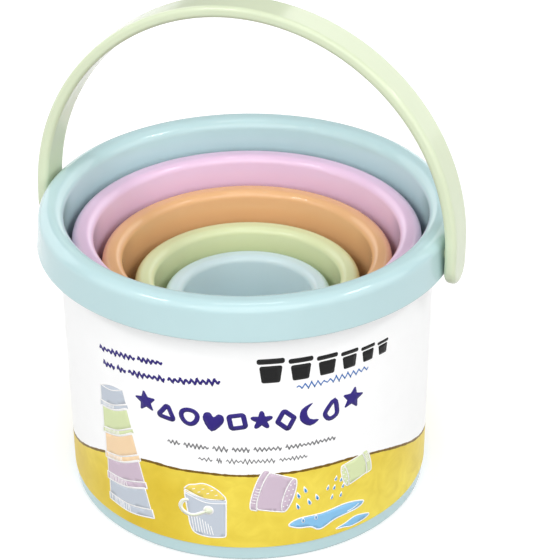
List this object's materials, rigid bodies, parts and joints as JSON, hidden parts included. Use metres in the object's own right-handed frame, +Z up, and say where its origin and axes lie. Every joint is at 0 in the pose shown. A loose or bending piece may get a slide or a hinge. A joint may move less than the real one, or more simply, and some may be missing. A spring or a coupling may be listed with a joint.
{
  "type": "stacking cup tower",
  "caption": "Pastel toy bucket with a swinging strap handle, a printed card sleeve and nested cups that lift out, some with sieve bases.",
  "frame": {"origin": "on the bucket's axis, in the plane its foot ring stands on", "axes": "+Z up along the bucket's axis, X along the handle's pivot axis, the upright handle leans 3.4 degrees towards +Y"},
  "size_m": [0.1512, 0.1424, 0.1747],
  "materials": {
    "bucket_blue": "glossy",
    "handle_green": "satin",
    "printed_card": "semi-gloss printed card",
    "cup_pink": "glossy",
    "cup_orange": "glossy",
    "cup_green": "glossy",
    "cup_small_blue": "glossy"
  },
  "bodies": {
    "bucket": {"bucket": "bucket_blue", "label_sleeve": "printed_card"},
    "handle": {"handle": "handle_green"},
    "pink_cup": {"cup_pink": "cup_pink"},
    "orange_cup": {"cup_orange": "cup_orange"},
    "green_cup": {"cup_green": "cup_green"},
    "small_blue_cup": {"cup_small_blue": "cup_small_blue"}
  },
  "joints": [
    {"name": "handle_swing", "type": "hinge", "parent": "bucket", "child": "handle", "pos_m": [0, 0, 0.0978], "axis": [1, 0, 0], "range_deg": [-86.6, 93.4]},
    {"name": "pink_lift", "type": "slide", "parent": "bucket", "child": "pink_cup", "axis": [0, 0, 1], "range_m": [0, 0.04]},
    {"name": "orange_lift", "type": "slide", "parent": "pink_cup", "child": "orange_cup", "axis": [0, 0, 1], "range_m": [0, 0.06]},
    {"name": "green_lift", "type": "slide", "parent": "orange_cup", "child": "green_cup", "axis": [0, 0, 1], "range_m": [0, 0.078]},
    {"name": "small_blue_lift", "type": "slide", "parent": "green_cup", "child": "small_blue_cup", "axis": [0, 0, 1], "range_m": [0, 0.09]}
  ]
}
